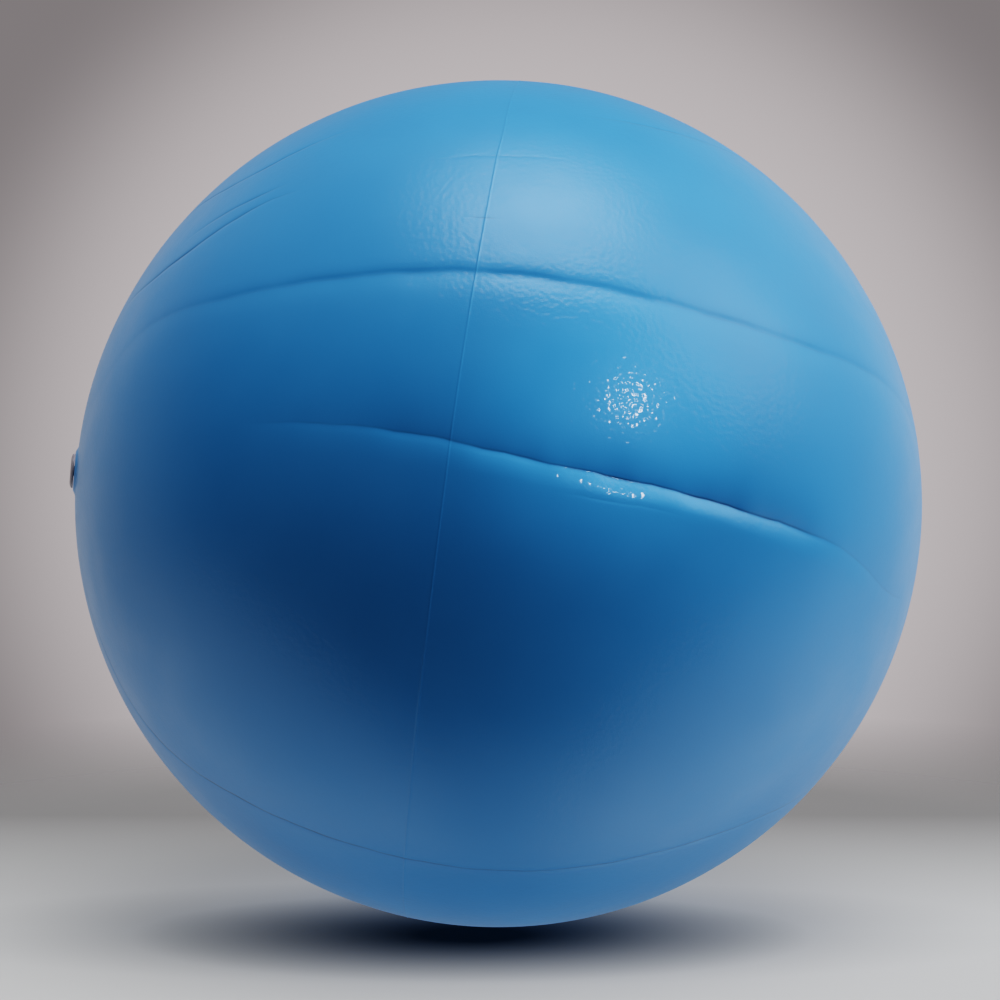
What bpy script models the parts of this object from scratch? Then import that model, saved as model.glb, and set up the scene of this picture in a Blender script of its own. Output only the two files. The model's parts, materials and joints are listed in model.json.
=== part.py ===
"""Exercise ball: an inflated soft PVC skin with a fused valve seat and a pull-out plug.

Metres, +Z up. The origin is the centre of the flat patch on which the ball rests,
the valve points along -X and a little upwards.
"""

import math

import bpy
from mathutils import Matrix, Vector

# Driving dimensions of the ball.
BALL_RADIUS = 0.325
SKIN = 0.0008
FACET_ANGLE = math.radians(6)
PATCH_ANGLE = FACET_ANGLE  # half angle of the flat patch, seen from the ball's centre

# Driving dimensions of the valve. Heights are measured outwards from the ball's surface.
VALVE_RISE = math.radians(5)
COLLAR_HEIGHT = 0.0015
COLLAR_FLAT_RADIUS = 0.0140
COLLAR_RADIUS = 0.0190
COLLAR_ROOT = 0.0060
BORE_RADIUS = 0.00475
BORE_CHAMFER = 0.0005
NECK_RADIUS = 0.0077
SEAT_DISC_RADIUS = 0.0130
SEAT_DISC_THICKNESS = 0.0018
SEAT_TUBE_RADIUS = 0.0070
SEAT_TUBE_END_RADIUS = 0.0064
SEAT_FILLET = 0.0010
SEAT_DEPTH = 0.0140

PLUG_RADIUS = 0.0130
PLUG_EDGE = 0.0012
PLUG_DOME = 0.0014
PLUG_DISH_RADIUS = 0.0075
PLUG_DISH_DEPTH = 0.0005
STEM_RADIUS = 0.0037
STEM_DEPTH = 0.0190
STEM_TIP_RADIUS = 0.0026
STEM_TIP_LENGTH = 0.0020
BARB_COUNT = 3
BARB_PITCH = 0.0042
BARB_LENGTH = 0.0022
FIRST_BARB_DEPTH = 0.0020
EDGE_BREAK = 0.0003

GAP = 0.0003  # left between two pieces that touch

SKIN_SEGMENTS = round(2 * math.pi / FACET_ANGLE)
VALVE_SEGMENTS = 40
COLLAR_STEPS = 4
PLUG_DOME_STEPS = 3
SMOOTH_UNDER = math.radians(35)
MERGE_WITHIN = 1e-6

CENTRE_HEIGHT = BALL_RADIUS * math.cos(PATCH_ANGLE)


def clear_scene():
    for obj in list(bpy.data.objects):
        bpy.data.objects.remove(obj, do_unlink=True)


def material(name, colour, roughness):
    made = bpy.data.materials.new(name)
    made.use_nodes = True
    shader = made.node_tree.nodes["Principled BSDF"]
    shader.inputs["Base Color"].default_value = (*colour, 1.0)
    shader.inputs["Roughness"].default_value = roughness
    shader.inputs["Metallic"].default_value = 0.0
    made.diffuse_color = (*colour, 1.0)
    return made


def turned(name, profile, segments, paint=None):
    """A solid turned about its local Z from (radius, height) points, outer side first and downwards."""
    count = len(profile)
    ring = all(radius > 0 for radius, _ in profile)
    edges = [(i, (i + 1) % count) for i in range(count if ring else count - 1)]
    mesh = bpy.data.meshes.new(name)
    mesh.from_pydata([(radius, 0.0, height) for radius, height in profile], edges, [])
    obj = bpy.data.objects.new(name, mesh)
    bpy.context.scene.collection.objects.link(obj)
    if paint:
        mesh.materials.append(paint)
    screw = obj.modifiers.new("turn", "SCREW")
    screw.axis = "Z"
    screw.angle = 2 * math.pi
    screw.steps = screw.render_steps = segments
    screw.use_merge_vertices = True
    screw.merge_threshold = MERGE_WITHIN
    screw.use_smooth_shade = True
    return obj


def helper(obj):
    """Marks a cutter or a guide, which isn't a piece of the ball."""
    obj.hide_render = True
    obj.display_type = "WIRE"
    return obj


def boolean(obj, operation, other):
    change = obj.modifiers.new(operation.lower(), "BOOLEAN")
    change.operation = operation
    change.object = other
    change.solver = "EXACT"


def finish(obj):
    """Bakes the modifiers, then shades the round faces smooth and keeps the edges crisp."""
    bpy.context.view_layer.update()
    evaluated = obj.evaluated_get(bpy.context.evaluated_depsgraph_get())
    made = bpy.data.meshes.new_from_object(evaluated)
    obj.modifiers.clear()
    obj.data = made
    made.shade_smooth()
    made.set_sharp_from_angle(angle=SMOOTH_UNDER)
    return obj


def valve_axis():
    """An empty where the valve's axis leaves the ball, its local Z pointing outwards."""
    empty = bpy.data.objects.new("valve_axis", None)
    bpy.context.scene.collection.objects.link(empty)
    turn = Matrix.Rotation(VALVE_RISE - math.pi / 2, 4, "Y")
    outwards = turn @ Vector((0.0, 0.0, 1.0))
    place = Vector((0.0, 0.0, CENTRE_HEIGHT)) + BALL_RADIUS * outwards
    empty.matrix_world = Matrix.Translation(place) @ turn
    return empty


def surface_drop(radius):
    """How far the ball's surface has fallen away at this radius from the valve's axis."""
    return math.sqrt(BALL_RADIUS**2 - radius**2) - BALL_RADIUS


def ball_form(name, radius):
    """A full ball of this radius, turned in equal steps and cut flat where it rests."""
    steps = round((math.pi - PATCH_ANGLE) / FACET_ANGLE)
    angles = [step * FACET_ANGLE for step in range(steps + 1)]
    profile = [(radius * math.sin(angle), radius * math.cos(angle)) for angle in angles]
    profile.append((0.0, radius * math.cos(angles[-1])))
    obj = turned(name, profile, SKIN_SEGMENTS)
    obj.location.z = CENTRE_HEIGHT
    return obj


def collar_form(name, wall, axis):
    """The low boss that the skin makes over the valve seat, drawn in by the given wall."""
    outer_radius = COLLAR_RADIUS - wall
    profile = [(0.0, COLLAR_HEIGHT - wall)]
    for step in range(COLLAR_STEPS + 1):
        share = step / COLLAR_STEPS
        radius = COLLAR_FLAT_RADIUS + share * (outer_radius - COLLAR_FLAT_RADIUS)
        lift = COLLAR_HEIGHT * (1 + math.cos(math.pi * share)) / 2
        profile.append((radius, lift + share * surface_drop(radius) - wall))
    profile += [(outer_radius, -COLLAR_ROOT - wall), (0.0, -COLLAR_ROOT - wall)]
    obj = turned(name, profile, VALVE_SEGMENTS)
    obj.parent = axis
    return obj


def ball_skin(axis, paint):
    """The inflated skin: one wall with its flat foot, valve boss and valve hole."""
    inside = helper(ball_form("inside", BALL_RADIUS - SKIN))
    boolean(inside, "UNION", helper(collar_form("inside_boss", SKIN, axis)))
    hole_radius = NECK_RADIUS + GAP
    reach = 2 * COLLAR_ROOT
    hole_profile = [(0.0, reach), (hole_radius, reach), (hole_radius, -reach), (0.0, -reach)]
    hole = helper(turned("valve_hole", hole_profile, VALVE_SEGMENTS))
    hole.parent = axis
    skin = ball_form("ball_skin", BALL_RADIUS)
    skin.data.materials.append(paint)
    boolean(skin, "UNION", helper(collar_form("outside_boss", 0.0, axis)))
    boolean(skin, "DIFFERENCE", inside)
    boolean(skin, "DIFFERENCE", hole)
    return finish(skin)


def valve_seat(axis, paint):
    """The thick moulded seat under the skin, with a neck through the skin and a tube inwards."""
    top = COLLAR_HEIGHT
    disc_top = COLLAR_HEIGHT - SKIN - GAP
    disc_bottom = disc_top - SEAT_DISC_THICKNESS
    profile = [
        (BORE_RADIUS + BORE_CHAMFER, top),
        (NECK_RADIUS, top),
        (NECK_RADIUS, disc_top),
        (SEAT_DISC_RADIUS, disc_top),
        (SEAT_DISC_RADIUS, disc_bottom),
        (SEAT_TUBE_RADIUS + SEAT_FILLET, disc_bottom),
        (SEAT_TUBE_RADIUS, disc_bottom - SEAT_FILLET),
        (SEAT_TUBE_END_RADIUS, -SEAT_DEPTH),
        (BORE_RADIUS, -SEAT_DEPTH),
        (BORE_RADIUS, top - BORE_CHAMFER),
    ]
    seat = turned("valve_seat", profile, VALVE_SEGMENTS, paint)
    seat.parent = axis
    return finish(seat)


def plug_profile():
    """The stopper's outline: a dished round flange, then a stem with barbs and a narrow tip."""
    underside = COLLAR_HEIGHT + GAP
    rim = underside + PLUG_EDGE
    top = rim + PLUG_DOME
    dish = top - PLUG_DISH_DEPTH
    barb_radius = BORE_RADIUS - GAP
    profile = [(0.0, dish), (PLUG_DISH_RADIUS, dish), (PLUG_DISH_RADIUS + PLUG_DISH_DEPTH, top)]
    for step in range(PLUG_DOME_STEPS + 1):
        turn = step / PLUG_DOME_STEPS * math.pi / 2
        radius = PLUG_RADIUS - PLUG_DOME * (1 - math.sin(turn))
        profile.append((radius, rim + PLUG_DOME * math.cos(turn)))
    profile += [(PLUG_RADIUS, underside + EDGE_BREAK), (PLUG_RADIUS - EDGE_BREAK, underside)]
    profile.append((STEM_RADIUS, underside))
    for barb in range(BARB_COUNT):
        start = -FIRST_BARB_DEPTH - barb * BARB_PITCH
        profile += [(STEM_RADIUS, start), (barb_radius, start), (STEM_RADIUS, start - BARB_LENGTH)]
    profile += [(STEM_RADIUS, STEM_TIP_LENGTH - STEM_DEPTH), (STEM_TIP_RADIUS, -STEM_DEPTH)]
    profile.append((0.0, -STEM_DEPTH))
    return profile


def plug(axis, paint):
    """The stopper that pulls out along the valve's axis."""
    stopper = turned("plug", plug_profile(), VALVE_SEGMENTS, paint)
    stopper.parent = axis
    return finish(stopper)


def main():
    clear_scene()
    skin_blue = material("ball_skin", (0.045, 0.305, 0.770), 0.42)
    seat_blue = material("valve_seat", (0.036, 0.244, 0.616), 0.45)
    plug_grey = material("plug", (0.360, 0.330, 0.380), 0.50)
    axis = valve_axis()
    ball_skin(axis, skin_blue)
    valve_seat(axis, seat_blue)
    plug(axis, plug_grey)


main()
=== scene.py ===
"""Looks of the exercise ball: its creased skin, valve seat and plug, on a pale studio floor.

Metres, +Z up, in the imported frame. A place on the skin is a latitude and a longitude about the
valve's axis, in degrees: latitude 90 is the valve, longitude 0 the front and 90 the top.
"""

import json
import math
from collections import namedtuple

import bpy
import numpy as np
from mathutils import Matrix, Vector, noise

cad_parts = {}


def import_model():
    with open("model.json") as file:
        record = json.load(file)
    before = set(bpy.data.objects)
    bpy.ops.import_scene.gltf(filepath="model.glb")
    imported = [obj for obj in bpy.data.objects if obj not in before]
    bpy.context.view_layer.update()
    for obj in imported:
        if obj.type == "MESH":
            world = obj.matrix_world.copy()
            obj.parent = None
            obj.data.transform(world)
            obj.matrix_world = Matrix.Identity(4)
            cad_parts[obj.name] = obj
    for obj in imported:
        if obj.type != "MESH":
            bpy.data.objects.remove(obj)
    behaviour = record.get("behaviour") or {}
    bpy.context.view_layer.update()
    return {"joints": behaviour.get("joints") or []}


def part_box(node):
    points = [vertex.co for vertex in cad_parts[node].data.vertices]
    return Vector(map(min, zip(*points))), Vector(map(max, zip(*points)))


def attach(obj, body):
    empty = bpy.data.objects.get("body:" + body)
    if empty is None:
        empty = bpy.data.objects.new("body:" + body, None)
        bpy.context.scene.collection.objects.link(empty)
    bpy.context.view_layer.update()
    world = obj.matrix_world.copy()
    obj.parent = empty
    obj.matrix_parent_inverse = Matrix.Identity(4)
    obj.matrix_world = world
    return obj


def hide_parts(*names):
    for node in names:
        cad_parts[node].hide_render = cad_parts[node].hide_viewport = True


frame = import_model()

# The ball, from the frame.
SKIN_LOW, SKIN_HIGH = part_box("ball_skin")
RADIUS = (SKIN_HIGH.y - SKIN_LOW.y) / 2
CENTRE = Vector((0.0, 0.0, SKIN_HIGH.z - RADIUS))
VALVE = Vector(frame["joints"][0]["axis"]).normalized()
FRONT = Vector((0.0, -1.0, 0.0))
TOP = VALVE.cross(FRONT)
VALVE_BASE = CENTRE + RADIUS * VALVE

# The skin and its moulded boss round the valve.
SKIN = 0.0008
BOSS_HEIGHT = 0.0015
BOSS_FLAT_RADIUS = 0.0140
BOSS_RADIUS = 0.0190
HOLE_RADIUS = 0.0080
HOLE_EDGE = 0.00025
FOOT_SOFTNESS = 0.0002  # how gradually the skin comes down onto the floor
RELIEF_STARTS = 0.020  # distance from the valve's axis at which the skin's unevenness starts
RELIEF_IS_FULL = 0.050

# The lines of the skin's mesh, in degrees: their step, and how much closer they lie at a detail.
Peak = namedtuple("Peak", "place width boost")
RING_STEP = 1.25
RING_PEAKS = (Peak(0.0, 0.30, 22.0), Peak(87.0, 2.5, 9.0))
COLUMN_STEP = 1.30
COLUMN_PEAK_WIDTH = 0.6
COLUMN_PEAK_BOOST = 16.0
LEVEL_SAMPLES = 4001  # steps in which the lines' spacing is added up
INNER_RING_STRIDES = (3, 5)  # inside, every third ring is kept near the valve, every fifth elsewhere
INNER_FINE_ABOVE = 84.0  # the latitude above which the valve counts as near

# The mould's parting line: a thin raised flash round the ball, near the middle latitude.
PARTING_TILT = (4.5, 10.5, -2.5)  # latitude = a + b cos(longitude) + c sin(longitude)
PARTING_HEIGHT = 0.00022
PARTING_WIDTH = 0.0006

# A crease's track gives its longitude at a latitude, and its strength the share of its depth. Its walls
# run out over the widths above and below, sharply for an exponent of 1 and roundly for 2, and its
# painted shade is how dark its line is painted, in place of the shade that falls in the fold.
Crease = namedtuple("Crease", "track strength depth above below exponents grime", defaults=[0.0])
PINCHED = (1.05, 1.5)
ROUNDED = (2.0, 2.0)
LOW_FOLD = Crease(
    track=[(-60, -65), (-35, -50), (0, -49), (35, -55), (60, -68)],
    strength=[(-60, 0), (-45, 0.5), (0, 0.5), (45, 1), (66, 1), (76, 0)],
    depth=0.0005, above=0.0014, below=0.0022, exponents=PINCHED, grime=0.8,
)
FINE_WRINKLE = Crease(
    track=[(-65, -18), (-40, -4), (-20, 3), (5, 6), (60, 9)],
    strength=[(-14, 0), (-11, 1), (-3, 1), (1, 0)],
    depth=0.00012, above=0.0016, below=0.0012, exponents=PINCHED,
)
SHARP_FOLD = Crease(
    track=[(-65, -14), (-40, 1), (-20, 6), (5, 9.5), (20, 12), (60, 14)],
    strength=[(-62, 0), (-52, 0.15), (-40, 0.15), (-26, 0.9), (-8, 1), (8, 0.55), (25, 0.2), (42, 0)],
    depth=0.0042, above=0.0120, below=0.0066, exponents=PINCHED, grime=0.9,
)
SOFT_FOLD = Crease(
    track=[(-65, 38), (-30, 31), (10, 33), (45, 38), (67, 47)],
    strength=[(-75, 0), (-30, 0.8), (0, 1), (25, 0.9), (45, 0.4), (80, 0)],
    depth=0.0010, above=0.0042, below=0.0090, exponents=ROUNDED, grime=0.2,
)
MOULD_MARK = Crease(
    track=[(-65, 46), (-20, 41), (10, 41.5), (45, 48), (67, 60)],
    strength=[(9.5, 0), (10, 1), (12, 1), (12.5, 0)],
    depth=0.00015, above=0.0008, below=0.0008, exponents=PINCHED, grime=0.4,
)
UPPER_FOLD = Crease(
    track=[(-60, 54), (5, 53), (38, 57), (60, 66), (68, 78)],
    strength=[
        (-70, 0), (-60, 0.5), (-42, 0), (0, 0), (8, 0.4), (18, 0), (34, 0), (45, 1), (60, 1), (68, 0),
    ],
    depth=0.0006, above=0.0020, below=0.0022, exponents=PINCHED, grime=0.5,
)
UPPER_BRANCH = Crease(
    track=[(0, 59), (38, 60), (50, 65), (62, 73), (68, 84)],
    strength=[(36, 0), (41, 1), (47, 1), (52, 0)],
    depth=0.0004, above=0.0016, below=0.0016, exponents=PINCHED, grime=0.4,
)
TOP_FOLD = Crease(
    track=[(-40, 84), (-20, 70), (28, 69), (45, 75), (55, 90)],
    strength=[(-50, 0), (-25, 0.8), (-10, 0.7), (-3, 0), (26, 0), (35, 0.8), (50, 1), (58, 0)],
    depth=0.0006, above=0.0020, below=0.0020, exponents=PINCHED, grime=0.5,
)
BACK_FOLDS = [  # on the side that is turned away, where any creases are a guess
    Crease(
        track=[(-60, 118), (-20, 112), (20, 106), (60, 118)],
        strength=[(-66, 0), (-40, 0.7), (0, 1), (30, 0.6), (60, 0)],
        depth=0.0009, above=0.0060, below=0.0060, exponents=ROUNDED,
    ),
    Crease(
        track=[(-55, 150), (-15, 146), (25, 151), (60, 146)],
        strength=[(-60, 0), (-35, 0.5), (10, 0.9), (35, 1), (62, 0)],
        depth=0.0007, above=0.0030, below=0.0026, exponents=PINCHED, grime=0.5,
    ),
    Crease(
        track=[(-70, 182), (-30, 187), (10, 183), (50, 190)],
        strength=[(-74, 0), (-30, 1), (5, 0.8), (30, 0.3), (55, 0)],
        depth=0.0012, above=0.0050, below=0.0040, exponents=PINCHED, grime=0.8,
    ),
    Crease(
        track=[(-60, 232), (-20, 226), (30, 230), (65, 240)],
        strength=[(-66, 0), (-25, 0.6), (15, 0.9), (50, 0.6), (72, 0)],
        depth=0.0008, above=0.0055, below=0.0055, exponents=ROUNDED,
    ),
]
# In order of longitude, because the mesh's columns run from each one to the next.
CREASES = [
    LOW_FOLD, FINE_WRINKLE, SHARP_FOLD, SOFT_FOLD,
    MOULD_MARK, UPPER_FOLD, UPPER_BRANCH, TOP_FOLD, *BACK_FOLDS,
]
LINE_WIDTH = 0.0008  # of the painted shade along a crease's line

# A crease wanders and varies in depth a little on its way: waves of (wavelength, height). Wavelengths
# and the wander's heights are degrees, and the depth's heights are shares of it.
WANDER = ((9.0, 0.07), (3.7, 0.035))
DEPTH_WAVE = ((13.0, 0.15), (5.3, 0.10))

# Slow unevenness of the whole skin: waves of (size, height), in metres.
UNEVENNESS = ((0.110, 0.00035), (0.045, 0.00010))

# The valve seat and the plug, at heights above the ball's surface along the valve's axis.
GAP = 0.0003
BORE_RADIUS = 0.00475
NECK_RADIUS = HOLE_RADIUS - GAP
SEAT_DISC_RADIUS = 0.0130
SEAT_DISC_TOP = BOSS_HEIGHT - SKIN - GAP
SEAT_DISC_THICKNESS = 0.0018
SEAT_DISC_BOTTOM = SEAT_DISC_TOP - SEAT_DISC_THICKNESS
SEAT_TUBE_RADIUS = 0.0070
SEAT_TUBE_END_RADIUS = 0.0064
SEAT_DEPTH = 0.0140
PLUG_RADIUS = 0.0130
PLUG_UNDERSIDE = BOSS_HEIGHT + GAP
PLUG_EDGE = 0.0012
PLUG_DOME = 0.0014
PLUG_RIM = PLUG_UNDERSIDE + PLUG_EDGE
PLUG_TOP = PLUG_RIM + PLUG_DOME
PLUG_SHOULDER_RADIUS = 0.0105
PLUG_SHOULDER = PLUG_TOP - 0.0002
PLUG_DISH_RADIUS = 0.0080
PLUG_DISH_FLOOR_RADIUS = 0.0072
PLUG_DISH_FLOOR = PLUG_TOP - 0.0005
PLUG_DIMPLE_RADIUS = 0.0013
PLUG_DIMPLE_FLOOR_RADIUS = 0.0009
PLUG_DIMPLE_FLOOR = PLUG_TOP - 0.0006
STEM_RADIUS = 0.0037
STEM_TIP_RADIUS = 0.0026
STEM_DEPTH = 0.0190
STEM_TIP_LENGTH = 0.0020
BARB_RADIUS = BORE_RADIUS - GAP
BARB_COUNT = 3
BARB_PITCH = 0.0042
BARB_LENGTH = 0.0022
FIRST_BARB_DEPTH = 0.0020
VALVE_SEGMENTS = 128
CORNER_STEPS = 4

# The camera stands in front, a little to the left of the ball's centre and above it.
CAMERA_AZIMUTH = math.radians(-8.0)
CAMERA_RISE = math.radians(4.5)
CAMERA_DISTANCE = 7 * RADIUS
SENSOR = 36.0
BALL_SHARE = 0.847  # of the picture's width
AIM_RIGHT = 0.0012  # how far to the right of the ball's centre the camera's axis passes
AIM_UP = 0.0027  # and how far above it

# The studio. A glow's axis is along the camera's right, up and near; its core and edge in degrees.
Glow = namedtuple("Glow", "axis core edge strength")
TOP_KEY = Glow((0.15, 0.95, 0.25), 2, 24, 3.5)
TOP_WIDE = Glow((0.15, 1.0, 0.1), 5, 30, 2.7)
RIGHT_KEY = Glow((0.75, 0.6, 0.2), 2, 28, 2.6)
RIGHT_WIDE = Glow((0.85, 0.5, 0.15), 5, 35, 0.4)
UPPER_FILLS = [Glow((0.65, 0.75, 0.0), 5, 45, 0.5), Glow((-0.35, 0.95, 0.0), 10, 45, 0.4)]
RIM_FILLS = [Glow((0.75, 0.1, -0.65), 5, 50, 0.45), Glow((-0.75, 0.1, -0.65), 5, 50, 0.3)]
BEHIND = Glow((0.0, 0.0, -1.0), 20, 80, 0.2)
BELOW = Glow((0.0, -1.0, 0.0), 5, 35, 0.5)
LOWER_FILLS = [Glow((-0.7, -0.7, -0.1), 5, 45, 0.7), Glow((0.7, -0.7, -0.1), 5, 45, 1.15)]
GLOWS = [TOP_KEY, TOP_WIDE, RIGHT_KEY, RIGHT_WIDE, *UPPER_FILLS, *RIM_FILLS, BEHIND, BELOW, *LOWER_FILLS]

# A small spotlight whose glints break up on the skin's grain.
SPARKLE_AXIS = (0.50, 0.38, 0.78)
SPARKLE_DISTANCE = 1.9
SPARKLE_RADIUS = 0.012
SPARKLE_CONE = 8.0
SPARKLE_POWER = 22.0

BACKDROP_TINT = (1.07, 0.98, 1.0)
BACKDROP_TONE = 0.17
# a painted pool of light on the backdrop behind the ball
BACKDROP_HALO = Glow((0.008, 0.010, -1.0), 5, 12.8, 0.29)

# The floor: pale in front, darker behind the ball as a painted falloff of the light, then fading into
# the backdrop. Two painted shadows lie on it, a wide one and a dark one at the contact: (right, far) of
# the middle and of the half width and depth.
FLOOR_PALE_BEFORE = -0.05
FLOOR_DARK_BEYOND = 0.42
FLOOR_FADES_FROM = 0.62
FLOOR_GONE_BEYOND = 1.10
# a pale tone in front, and a darker tone behind the ball that paints the falloff of the light
FLOOR_PALE = (0.26, 0.26, 0.26)
FLOOR_DARK = (0.08, 0.078, 0.078)
FLOOR_LIGHT = 0.30  # the light that it sends out itself
FLOOR_DARK_LIGHT = (0.35, 0.34, 0.34)  # the share of it that is left on the dark part
FLOOR_SEGMENTS = 96
# a wide painted shadow, which dims the floor's own glow
SHADE_MIDDLE = (-0.02, -0.05)
SHADE_REACH = (0.43, 0.18)
SHADE_TONE = 0.05
# the contact shadow is painted: the floor's colour and glow go to black round the ball's foot
CONTACT_SHADOW_MIDDLE = (-0.02, -0.07)
CONTACT_SHADOW_REACH = (0.26, 0.15)
CONTACT_SHADOW_CORE = 0.15  # share of the reach that is quite dark

BLACK = (0.0, 0.0, 0.0)
WHITE = (1.0, 1.0, 1.0)

# The finishes. Blues, greys and roughnesses are the two ends that a noise varies between. A grain is
# a noise's scale and detail, and a bump is its distance in metres and its strength.
SKIN_BLUES = ((0.040, 0.290, 0.740), (0.050, 0.320, 0.800))
# painted shade: the blue that a crease's line is darkened towards, in place of the shade in the fold
PAINTED_CREASE_SHADE = (0.014, 0.090, 0.230)
SKIN_SHINE = (0.25, 0.52, 1.0)
SKIN_ROUGHNESS = (0.38, 0.46)
SKIN_CLOUD_GRAIN = (7.0, 3.0)
SKIN_SMEAR_GRAIN = (28.0, 4.0)
SKIN_FINE_GRAIN = (900.0, 2.0)
SKIN_FINE_BUMP = (0.0001, 0.4)
COAT_GRAIN = (300.0, 0.0)
COAT_BUMP = (0.0004, 1.0)
SEAT_BLUES = ((0.032, 0.225, 0.570), (0.040, 0.262, 0.660))
SEAT_ROUGHNESS = (0.40, 0.50)
SEAT_GRAIN = (1500.0, 2.0)
PLUG_GREYS = ((0.340, 0.310, 0.360), (0.380, 0.350, 0.400))
PLUG_ROUGHNESS = (0.45, 0.55)
PLUG_GRAIN = (2200.0, 2.0)
RUBBER_CLOUD_GRAIN = (260.0, 3.0)
RUBBER_SMEAR_GRAIN = (500.0, 3.0)
RUBBER_BUMP = (0.0001, 0.3)


def through(points, at):
    """A smooth curve through (place, value) points, read at these places and level beyond its ends."""
    place, value = np.array(points, float).T
    slope = np.gradient(value, place)
    slope[0] = slope[-1] = 0.0
    at = np.clip(at, place[0], place[-1])
    start = np.clip(np.searchsorted(place, at) - 1, 0, len(place) - 2)
    span = place[start + 1] - place[start]
    part = (at - place[start]) / span
    rise = part * part * (3 - 2 * part)
    leaving = span * slope[start] * part * (1 - part) ** 2
    arriving = span * slope[start + 1] * part**2 * (1 - part)
    return value[start] * (1 - rise) + value[start + 1] * rise + leaving - arriving


def waves(terms, at, phase):
    """A sum of sine waves of (wavelength, height), out of step with each other."""
    return sum(
        height * np.sin(2 * math.pi * at / wavelength + phase * (step + 1))
        for step, (wavelength, height) in enumerate(terms)
    )


def smooth_step(value, start, end):
    share = np.clip((value - start) / (end - start), 0.0, 1.0)
    return share * share * (3 - 2 * share)


def levels(start, end, step, peaks):
    """Places from start to end, about a step apart and closer together round the peaks."""
    fine = np.linspace(start, end, LEVEL_SAMPLES)
    density = 1 + sum(p.boost * np.exp(-(((fine - p.place) / p.width) ** 2)) for p in peaks)
    travelled = np.concatenate(([0.0], np.cumsum((density[1:] + density[:-1]) / 2 * np.diff(fine))))
    count = round(travelled[-1] / step)
    return np.interp(np.linspace(0.0, travelled[-1], count + 1), travelled, fine)


def outwards(latitude, longitude):
    """Unit vectors from the ball's centre to these places."""
    latitude = np.radians(latitude)[..., None]
    longitude = np.radians(longitude)[..., None]
    round_the_axis = np.cos(longitude) * np.array(FRONT) + np.sin(longitude) * np.array(TOP)
    return np.sin(latitude) * np.array(VALVE) + np.cos(latitude) * round_the_axis


def crease_line(index, latitude):
    """Longitude of a crease at these latitudes."""
    return through(CREASES[index].track, latitude) + waves(WANDER, latitude, index + 1)


def between_creases(index, latitude, share):
    """Longitude at this share of the way from one crease to the next."""
    following = (index + 1) % len(CREASES)
    turn = 360.0 if following == 0 else 0.0
    start = crease_line(index, latitude)
    return start + share * (crease_line(following, latitude) + turn - start)


def skin_grid():
    """Ring level, latitude and longitude of every point of the outer skin, rings by columns."""
    middle = np.zeros(1)
    edge = math.degrees(math.acos((HOLE_RADIUS + HOLE_EDGE) / RADIUS))
    rings = levels(-90.0, edge, RING_STEP, RING_PEAKS)[:, None]
    window = np.cos(np.radians(np.clip(rings * 90.0 / edge, -90.0, 90.0))) ** 2
    latitudes, longitudes = [], []
    for index in range(len(CREASES)):
        width = float(between_creases(index, middle, 1.0)[0] - between_creases(index, middle, 0.0)[0])
        ends = [Peak(place, COLUMN_PEAK_WIDTH, COLUMN_PEAK_BOOST) for place in (0.0, width)]
        shares = levels(0.0, width, COLUMN_STEP, ends)[None, :-1] / width
        nominal = np.radians(between_creases(index, middle, shares))
        constant, cosine, sine = PARTING_TILT
        parting = constant + cosine * np.cos(nominal) + sine * np.sin(nominal)
        latitude = rings + window * parting
        latitudes.append(latitude)
        longitudes.append(between_creases(index, latitude, shares))
    latitude = np.hstack(latitudes)
    return np.broadcast_to(rings, latitude.shape), latitude, np.hstack(longitudes)


def crease_relief(latitude, longitude):
    """Height of the creases at these places, and how much painted shade darkens them there."""
    relief = np.zeros_like(latitude)
    grime = np.zeros_like(latitude)
    for index, crease in enumerate(CREASES):
        turn = (longitude - crease_line(index, latitude) + 180.0) % 360.0 - 180.0
        across = RADIUS * np.cos(np.radians(latitude)) * np.radians(turn)
        strength = np.interp(latitude, *np.array(crease.strength, float).T)
        strength = strength * (1 + waves(DEPTH_WAVE, latitude, index + 2))
        width = np.where(across > 0, crease.above, crease.below)
        exponent = np.where(across > 0, *crease.exponents)
        relief -= strength * crease.depth * np.exp(-(np.abs(across / width) ** exponent))
        # painted shade along the crease's line
        grime = np.maximum(grime, crease.grime * strength * np.exp(-((across / LINE_WIDTH) ** 2)))
    return relief, grime


def unevenness(directions):
    """Slow bulges and hollows of the soft skin."""
    heights = [
        sum(height * noise.noise(Vector(direction) * RADIUS / size) for size, height in UNEVENNESS)
        for direction in directions.reshape(-1, 3)
    ]
    return np.array(heights).reshape(directions.shape[:-1])


def boss_lift(reach):
    """How far the boss stands above the ball at this distance from the valve's axis."""
    share = np.clip((reach - BOSS_FLAT_RADIUS) / (BOSS_RADIUS - BOSS_FLAT_RADIUS), 0.0, 1.0)
    drop = np.sqrt(RADIUS**2 - reach**2) - RADIUS
    return BOSS_HEIGHT * (1 + np.cos(math.pi * share)) / 2 - (1 - share) * drop


def outer_skin():
    """Ring level, outward direction, place and painted crease shade of the outer surface's points.

    They are rings by columns, from the far pole to the valve's hole.
    """
    ring, latitude, longitude = skin_grid()
    outward = outwards(latitude, longitude)
    reach = RADIUS * np.cos(np.radians(latitude))
    near_valve = latitude > 0
    fade = np.where(near_valve, smooth_step(reach, RELIEF_STARTS, RELIEF_IS_FULL), 1.0)
    relief, grime = crease_relief(latitude, longitude)
    flash = PARTING_HEIGHT * np.exp(-((RADIUS * np.radians(ring) / PARTING_WIDTH) ** 2))
    height = fade * (relief + unevenness(outward)) + flash
    points = np.array(CENTRE) + (RADIUS + height)[..., None] * outward
    points += np.where(near_valve, boss_lift(reach), 0.0)[..., None] * np.array(VALVE)
    low = points[..., 2]
    points[..., 2] = (low + np.sqrt(low**2 + 4 * FOOT_SOFTNESS**2)) / 2
    return ring, outward, points, grime * fade


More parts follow.
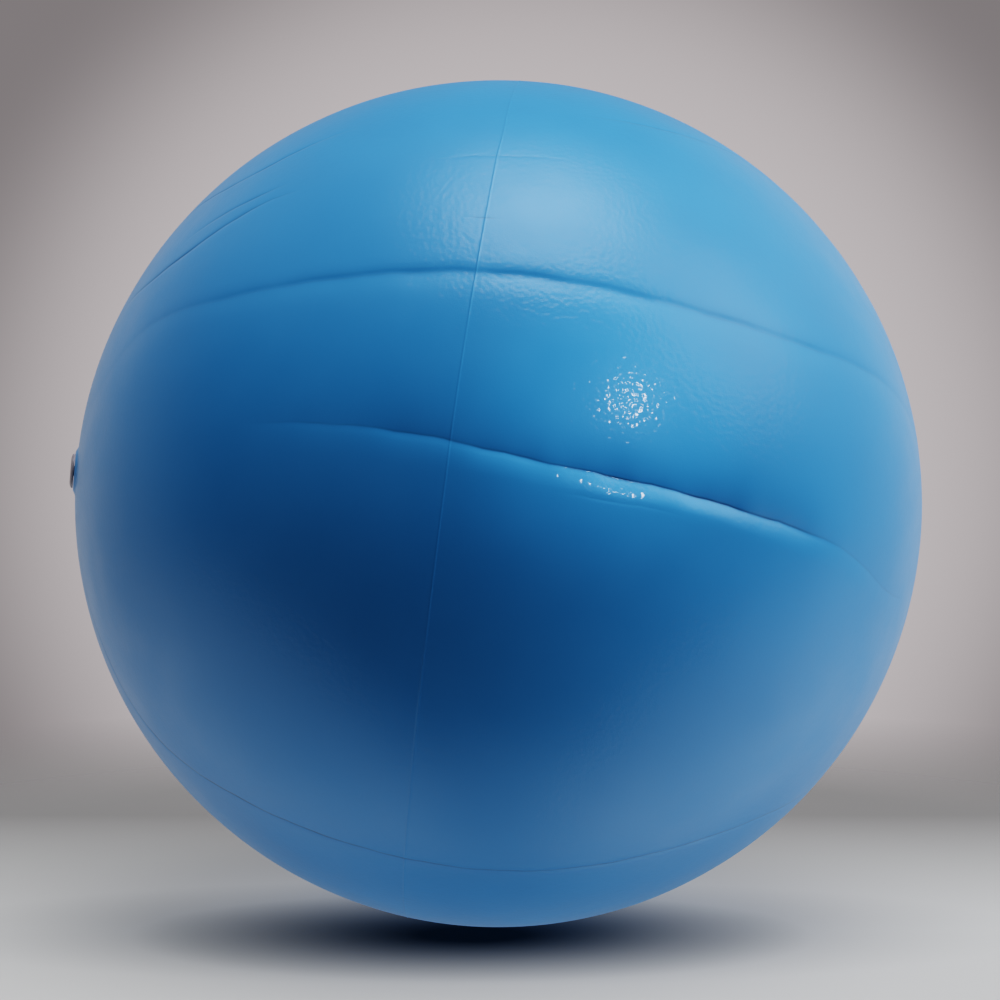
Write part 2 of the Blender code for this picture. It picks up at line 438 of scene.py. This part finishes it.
def round_valve(radius, height, longitude):
    """Points at this radius from the valve's axis and this height above the ball's surface."""
    sideways = outwards(np.zeros_like(longitude), longitude)
    return np.array(VALVE_BASE) + radius * sideways + height * np.array(VALVE)


def quad(start, end, column, beside):
    """The face between the rows that start at these two points, from a column to the one beside it."""
    return (start + column, end + column, end + beside, start + beside)


def tube_mesh(name, rows, first_point, last_point):
    """A closed mesh: rows of points joined side by side, with a point closing each end."""
    count = rows.shape[1]
    verts = [*map(tuple, rows.reshape(-1, 3)), tuple(first_point), tuple(last_point)]
    first, last = len(verts) - 2, len(verts) - 1
    faces = []
    for column in range(count):
        beside = (column + 1) % count
        faces.append((first, column, beside))
        for row in range(len(rows) - 1):
            faces.append(quad(row * count, (row + 1) * count, column, beside))
        start = (len(rows) - 1) * count
        faces.append((start + column, last, start + beside))
    mesh = bpy.data.meshes.new(name)
    mesh.from_pydata(verts, [], faces)
    return mesh


def ball_skin():
    """The inflated skin: the outer surface, the edge of the valve's hole and a coarser inside."""
    ring, outward, points, grime = outer_skin()
    longitude = np.degrees(np.arctan2(outward[-1] @ np.array(TOP), outward[-1] @ np.array(FRONT)))
    rim = []
    for step in range(1, CORNER_STEPS + 1):
        turn = step / CORNER_STEPS * math.pi / 2
        radius = HOLE_RADIUS + HOLE_EDGE * (1 - math.sin(turn))
        rim.append(round_valve(radius, BOSS_HEIGHT - HOLE_EDGE * (1 - math.cos(turn)), longitude))
    rim.append(round_valve(HOLE_RADIUS, BOSS_HEIGHT - SKIN, longitude))
    fine, coarse = INNER_RING_STRIDES
    strides = np.where(ring[:, 0] > INNER_FINE_ABOVE, fine, coarse)
    kept = [row for row in range(len(ring) - 2, 0, -1) if row % strides[row] == 0]
    inside = points[kept] - SKIN * outward[kept]
    rows = np.concatenate((points[1:], np.array(rim), inside))
    far_pole = points[0, 0]
    mesh = tube_mesh("ball_skin", rows, far_pole, far_pole - SKIN * outward[0, 0])
    mesh.flip_normals()  # the outer rows run towards the valve, which winds the faces inwards
    # the creases' painted shade, kept on the points for the skin's colour
    values = np.zeros(len(mesh.vertices), np.float32)
    values[: grime[1:].size] = grime[1:].ravel()
    mesh.attributes.new("grime", "FLOAT", "POINT").data.foreach_set("value", values)
    return shown(mesh)


def shown(mesh):
    """The mesh as an object in the scene, shaded smooth."""
    obj = bpy.data.objects.new(mesh.name, mesh)
    bpy.context.scene.collection.objects.link(obj)
    mesh.shade_smooth()
    return obj


def rounded(corners):
    """An outline through (radius, height, rounding) corners, each rounded by that much."""
    outline = []
    for index, (radius, height, rounding) in enumerate(corners):
        corner = Vector((radius, height))
        if rounding == 0:
            outline.append(corner)
            continue
        before = Vector(corners[index - 1][:2])
        after = Vector(corners[(index + 1) % len(corners)][:2])
        start = corner + (before - corner).normalized() * rounding
        end = corner + (after - corner).normalized() * rounding
        for step in range(CORNER_STEPS + 1):
            part = step / CORNER_STEPS
            outline.append(start.lerp(corner, part).lerp(corner.lerp(end, part), part))
    return outline


def turned_rows(outline):
    longitude = np.arange(VALVE_SEGMENTS) * 360.0 / VALVE_SEGMENTS
    return np.array([round_valve(point.x, point.y, longitude) for point in outline])


def valve_seat():
    """The thick moulded seat: a neck up through the skin, a disc under it and a tube inwards."""
    outline = rounded([
        (BORE_RADIUS, BOSS_HEIGHT, 0.0005),
        (NECK_RADIUS, BOSS_HEIGHT, 0.0002),
        (NECK_RADIUS, SEAT_DISC_TOP, 0.0001),
        (SEAT_DISC_RADIUS, SEAT_DISC_TOP, 0.0003),
        (SEAT_DISC_RADIUS, SEAT_DISC_BOTTOM, 0.0003),
        (SEAT_TUBE_RADIUS, SEAT_DISC_BOTTOM, 0.0010),
        (SEAT_TUBE_END_RADIUS, -SEAT_DEPTH, 0.0004),
        (BORE_RADIUS, -SEAT_DEPTH, 0.0003),
    ])
    rows = turned_rows(outline)
    mesh = bpy.data.meshes.new("valve_seat")
    row_count, count = rows.shape[:2]
    faces = [
        quad(row * count, (row + 1) % row_count * count, column, (column + 1) % count)
        for row in range(row_count)
        for column in range(count)
    ]
    mesh.from_pydata([tuple(point) for point in rows.reshape(-1, 3)], [], faces)
    return shown(mesh)


def plug():
    """The stopper: a dished flange, then a stem with barbs and a narrow tip."""
    corners = [
        (PLUG_DIMPLE_FLOOR_RADIUS, PLUG_DIMPLE_FLOOR, 0.0),
        (PLUG_DIMPLE_RADIUS, PLUG_DISH_FLOOR, 0.0001),
        (PLUG_DISH_FLOOR_RADIUS, PLUG_DISH_FLOOR, 0.0003),
        (PLUG_DISH_RADIUS, PLUG_TOP, 0.0004),
        (PLUG_SHOULDER_RADIUS, PLUG_SHOULDER, 0.0012),
        (PLUG_RADIUS, PLUG_RIM, 0.0006),
        (PLUG_RADIUS, PLUG_UNDERSIDE, 0.0003),
        (STEM_RADIUS, PLUG_UNDERSIDE, 0.0004),
    ]
    for barb in range(BARB_COUNT):
        start = -FIRST_BARB_DEPTH - barb * BARB_PITCH
        corners.append((STEM_RADIUS, start, 0.0001))
        corners.append((BARB_RADIUS, start, 0.00015))
        corners.append((STEM_RADIUS, start - BARB_LENGTH, 0.0002))
    corners.append((STEM_RADIUS, STEM_TIP_LENGTH - STEM_DEPTH, 0.0003))
    corners.append((STEM_TIP_RADIUS, -STEM_DEPTH, 0.0004))
    outline = rounded(corners)
    centre_top = VALVE_BASE + PLUG_DIMPLE_FLOOR * VALVE
    centre_tip = VALVE_BASE - STEM_DEPTH * VALVE
    return shown(tube_mesh("plug", turned_rows(outline), centre_top, centre_tip))


def new_material(name):
    material = bpy.data.materials.new(name)
    material.use_nodes = True
    return material, material.node_tree.nodes, material.node_tree.links


def noise_node(nodes, links, coordinates, scale, detail):
    node = nodes.new("ShaderNodeTexNoise")
    node.inputs["Scale"].default_value = scale
    node.inputs["Detail"].default_value = detail
    links.new(coordinates, node.inputs["Vector"])
    return node.outputs["Fac"]


def mapped(nodes, links, value, low, high, start=0.3, end=0.7):
    """The value, with its range from start to end stretched to run from low to high."""
    node = nodes.new("ShaderNodeMapRange")
    node.inputs["From Min"].default_value = start
    node.inputs["From Max"].default_value = end
    node.inputs["To Min"].default_value = low
    node.inputs["To Max"].default_value = high
    links.new(value, node.inputs["Value"])
    return node.outputs["Result"]


def mixed(nodes, links, share, first, second):
    """A blend of two colours by the share."""
    node = nodes.new("ShaderNodeMix")
    node.data_type = "RGBA"
    links.new(share, node.inputs["Factor"])
    for colour, socket in ((first, node.inputs["A"]), (second, node.inputs["B"])):
        if isinstance(colour, tuple):
            socket.default_value = (*colour, 1.0)
        else:
            links.new(colour, socket)
    return node.outputs["Result"]


def bump(nodes, links, height, distance, strength):
    node = nodes.new("ShaderNodeBump")
    node.inputs["Distance"].default_value = distance
    node.inputs["Strength"].default_value = strength
    links.new(height, node.inputs["Height"])
    return node.outputs["Normal"]


def skin_material():
    """Satin PVC: cloudy blue, painted shade in the folds, and a thin gloss broken by a moulded grain."""
    material, nodes, links = new_material("ball_skin_pvc")
    shader = nodes["Principled BSDF"]
    place = nodes.new("ShaderNodeTexCoord").outputs["Object"]
    grime = nodes.new("ShaderNodeAttribute")
    grime.attribute_name = "grime"
    clouds = mapped(nodes, links, noise_node(nodes, links, place, *SKIN_CLOUD_GRAIN), 0.0, 1.0)
    colour = mixed(nodes, links, clouds, *SKIN_BLUES)
    # darkens the colour along the creases: painted shade
    colour = mixed(nodes, links, grime.outputs["Fac"], colour, PAINTED_CREASE_SHADE)
    links.new(colour, shader.inputs["Base Color"])
    smears = mapped(nodes, links, noise_node(nodes, links, place, *SKIN_SMEAR_GRAIN), *SKIN_ROUGHNESS)
    links.new(smears, shader.inputs["Roughness"])
    fine_grain = noise_node(nodes, links, place, *SKIN_FINE_GRAIN)
    links.new(bump(nodes, links, fine_grain, *SKIN_FINE_BUMP), shader.inputs["Normal"])
    grain = noise_node(nodes, links, place, *COAT_GRAIN)
    links.new(bump(nodes, links, grain, *COAT_BUMP), shader.inputs["Coat Normal"])
    shader.inputs["Specular IOR Level"].default_value = 0.8
    shader.inputs["Specular Tint"].default_value = (*SKIN_SHINE, 1.0)
    shader.inputs["Coat Weight"].default_value = 0.25
    shader.inputs["Coat Roughness"].default_value = 0.14
    return material


def rubber_material(name, tones, roughness, grain_size):
    """Matt moulded rubber with a fine grain."""
    material, nodes, links = new_material(name)
    shader = nodes["Principled BSDF"]
    place = nodes.new("ShaderNodeTexCoord").outputs["Object"]
    clouds = mapped(nodes, links, noise_node(nodes, links, place, *RUBBER_CLOUD_GRAIN), 0.0, 1.0)
    links.new(mixed(nodes, links, clouds, *tones), shader.inputs["Base Color"])
    smears = mapped(nodes, links, noise_node(nodes, links, place, *RUBBER_SMEAR_GRAIN), *roughness)
    links.new(smears, shader.inputs["Roughness"])
    grain = noise_node(nodes, links, place, *grain_size)
    links.new(bump(nodes, links, grain, *RUBBER_BUMP), shader.inputs["Normal"])
    return material


def length(nodes, links, vector):
    node = nodes.new("ShaderNodeVectorMath")
    node.operation = "LENGTH"
    links.new(vector, node.inputs[0])
    return node.outputs["Value"]


def along(nodes, links, place, axis, middle=0.0, reach=1.0):
    """How far a place lies from the middle along an axis, as a share of the reach."""
    dot = nodes.new("ShaderNodeVectorMath")
    dot.operation = "DOT_PRODUCT"
    links.new(place, dot.inputs[0])
    dot.inputs[1].default_value = axis / reach
    offset = nodes.new("ShaderNodeMath")
    offset.operation = "SUBTRACT"
    links.new(dot.outputs["Value"], offset.inputs[0])
    offset.inputs[1].default_value = middle / reach
    return offset.outputs[0]


def ellipse_share(nodes, links, place, middle, reach):
    """How far a place on the floor lies from an ellipse's middle, as a share of its reach."""
    right, far_side = floor_axes()
    spread = nodes.new("ShaderNodeCombineXYZ")
    links.new(along(nodes, links, place, right, middle[0], reach[0]), spread.inputs["X"])
    links.new(along(nodes, links, place, far_side, middle[1], reach[1]), spread.inputs["Y"])
    return length(nodes, links, spread.outputs["Vector"])


def floor_axes():
    """The camera's right, and the direction away from it, along the floor."""
    right, _, to_camera = view_frame()
    return right, Vector((-to_camera.x, -to_camera.y, 0.0)).normalized()


def floor_material():
    """A pale floor, darkened behind the ball by a painted falloff of light, with the ball's shadow
    painted on it, fading into the backdrop.
    """
    material, nodes, links = new_material("studio_floor")
    shader = nodes["Principled BSDF"]
    shader.inputs["Roughness"].default_value = 0.7
    shader.inputs["Specular IOR Level"].default_value = 0.2
    place = nodes.new("ShaderNodeTexCoord").outputs["Object"]
    # painted falloff of the light: darker away from the camera, behind the ball
    away = along(nodes, links, place, floor_axes()[1])
    far = mapped(nodes, links, away, 0.0, 1.0, FLOOR_PALE_BEFORE, FLOOR_DARK_BEYOND)
    # painted contact shadow: black at the ball's foot, for the colour and the glow
    from_contact_shadow = ellipse_share(nodes, links, place, CONTACT_SHADOW_MIDDLE, CONTACT_SHADOW_REACH)
    contact_shadow = mapped(nodes, links, from_contact_shadow, 0.0, 1.0, CONTACT_SHADOW_CORE, 1.0)
    tone = mixed(nodes, links, far, FLOOR_PALE, FLOOR_DARK)
    links.new(mixed(nodes, links, contact_shadow, BLACK, tone), shader.inputs["Base Color"])
    # the floor's own glow is painted light, dimmed by the wide painted shadow
    from_shade = ellipse_share(nodes, links, place, SHADE_MIDDLE, SHADE_REACH)
    own_light = nodes.new("ShaderNodeMath")
    own_light.operation = "MULTIPLY"
    shade = mapped(nodes, links, from_shade, SHADE_TONE * FLOOR_LIGHT, FLOOR_LIGHT, 0.0, 1.0)
    links.new(shade, own_light.inputs[0])
    links.new(contact_shadow, own_light.inputs[1])
    links.new(own_light.outputs[0], shader.inputs["Emission Strength"])
    # the glow is dimmer on the far side, with the painted falloff
    light = mixed(nodes, links, far, WHITE, FLOOR_DARK_LIGHT)
    links.new(light, shader.inputs["Emission Color"])
    reach = length(nodes, links, place)
    solid = mapped(nodes, links, reach, 1.0, 0.0, FLOOR_FADES_FROM, FLOOR_GONE_BEYOND)
    links.new(solid, shader.inputs["Alpha"])
    return material


def floor():
    """The studio floor: only the camera sees it, so that it sends no light back up at the ball."""
    turns = [2 * math.pi * step / FLOOR_SEGMENTS for step in range(FLOOR_SEGMENTS)]
    verts = [
        (FLOOR_GONE_BEYOND * math.cos(turn), FLOOR_GONE_BEYOND * math.sin(turn), 0.0) for turn in turns
    ]
    mesh = bpy.data.meshes.new("studio_floor")
    mesh.from_pydata(verts, [], [range(FLOOR_SEGMENTS)])
    mesh.materials.append(floor_material())
    disc = shown(mesh)
    disc.visible_diffuse = False
    disc.visible_glossy = False
    disc.visible_shadow = False


def view_frame():
    """Right, up and the direction from the ball to the camera."""
    to_camera = Vector((
        math.sin(CAMERA_AZIMUTH) * math.cos(CAMERA_RISE),
        -math.cos(CAMERA_AZIMUTH) * math.cos(CAMERA_RISE),
        math.sin(CAMERA_RISE),
    ))
    right = Vector((0.0, 0.0, 1.0)).cross(to_camera).normalized()
    return right, to_camera.cross(right), to_camera


def camera():
    right, up, to_camera = view_frame()
    data = bpy.data.cameras.new("camera")
    data.sensor_width = SENSOR
    data.lens = BALL_SHARE / 2 * SENSOR * math.sqrt((CAMERA_DISTANCE / RADIUS) ** 2 - 1)
    obj = bpy.data.objects.new("camera", data)
    bpy.context.scene.collection.objects.link(obj)
    obj.location = CENTRE + AIM_RIGHT * right + AIM_UP * up + CAMERA_DISTANCE * to_camera
    obj.rotation_euler = to_camera.to_track_quat("Z", "Y").to_euler()
    bpy.context.scene.camera = obj


def in_view(right_up_near):
    """The unit vector with these shares along the camera's right, up and near."""
    return sum((share * axis for share, axis in zip(right_up_near, view_frame())), Vector()).normalized()


def sparkle():
    """The spotlight, aimed at the place on the ball that mirrors it into the camera."""
    direction = in_view(SPARKLE_AXIS)
    mirror = CENTRE + RADIUS * (direction + view_frame()[2]).normalized()
    data = bpy.data.lights.new("sparkle", "SPOT")
    data.energy = SPARKLE_POWER
    data.shadow_soft_size = SPARKLE_RADIUS
    data.spot_size = math.radians(SPARKLE_CONE)
    data.spot_blend = 1.0
    obj = bpy.data.objects.new("sparkle", data)
    bpy.context.scene.collection.objects.link(obj)
    obj.location = CENTRE + SPARKLE_DISTANCE * direction
    obj.rotation_euler = (obj.location - mirror).to_track_quat("Z", "Y").to_euler()


def glow(nodes, links, direction, lobe):
    """Light that is full round the lobe's axis and fades smoothly to nothing at its edge."""
    facing = nodes.new("ShaderNodeVectorMath")
    facing.operation = "DOT_PRODUCT"
    links.new(direction, facing.inputs[0])
    facing.inputs[1].default_value = in_view(lobe.axis)
    fall = nodes.new("ShaderNodeMapRange")
    fall.interpolation_type = "SMOOTHERSTEP"
    fall.inputs["From Min"].default_value = math.cos(math.radians(lobe.edge))
    fall.inputs["From Max"].default_value = math.cos(math.radians(lobe.core))
    fall.inputs["To Max"].default_value = lobe.strength
    links.new(facing.outputs["Value"], fall.inputs["Value"])
    return fall.outputs["Result"]


def summed(nodes, links, parts):
    """The sum of these values."""
    total = parts[0]
    for part in parts[1:]:
        add = nodes.new("ShaderNodeMath")
        links.new(total, add.inputs[0])
        links.new(part, add.inputs[1])
        total = add.outputs[0]
    return total


def world():
    """A backdrop with a pale painted halo of light, which only the camera sees, and the studio's glows
    as the light.
    """
    made = bpy.data.worlds.new("studio")
    bpy.context.scene.world = made
    made.use_nodes = True
    nodes, links = made.node_tree.nodes, made.node_tree.links
    direction = nodes.new("ShaderNodeTexCoord").outputs["Generated"]
    backdrop = nodes["Background"]
    backdrop.inputs["Color"].default_value = (*BACKDROP_TINT, 1.0)
    tone = nodes.new("ShaderNodeValue").outputs[0]
    tone.default_value = BACKDROP_TONE
    halo = glow(nodes, links, direction, BACKDROP_HALO)
    links.new(summed(nodes, links, [tone, halo]), backdrop.inputs["Strength"])
    room = nodes.new("ShaderNodeBackground")
    room.inputs["Color"].default_value = (*WHITE, 1.0)
    light = summed(nodes, links, [glow(nodes, links, direction, lobe) for lobe in GLOWS])
    links.new(light, room.inputs["Strength"])
    path = nodes.new("ShaderNodeLightPath")
    choice = nodes.new("ShaderNodeMixShader")
    links.new(path.outputs["Is Camera Ray"], choice.inputs[0])
    links.new(room.outputs[0], choice.inputs[1])
    links.new(backdrop.outputs[0], choice.inputs[2])
    links.new(choice.outputs[0], nodes["World Output"].inputs["Surface"])


def dress(piece, body, node, material):
    """Puts a piece in place of its CAD node, on that body, with its finish."""
    piece.data.materials.append(material)
    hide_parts(node)
    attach(piece, body)


camera()
floor()
world()
sparkle()
dress(ball_skin(), "ball", "ball_skin", skin_material())
seat_rubber = rubber_material("valve_seat_pvc", SEAT_BLUES, SEAT_ROUGHNESS, SEAT_GRAIN)
dress(valve_seat(), "ball", "valve_seat", seat_rubber)
plug_rubber = rubber_material("plug_rubber", PLUG_GREYS, PLUG_ROUGHNESS, PLUG_GRAIN)
dress(plug(), "plug", "plug", plug_rubber)
bpy.context.scene.view_settings.view_transform = "Filmic"
bpy.context.scene.view_settings.look = "High Contrast"
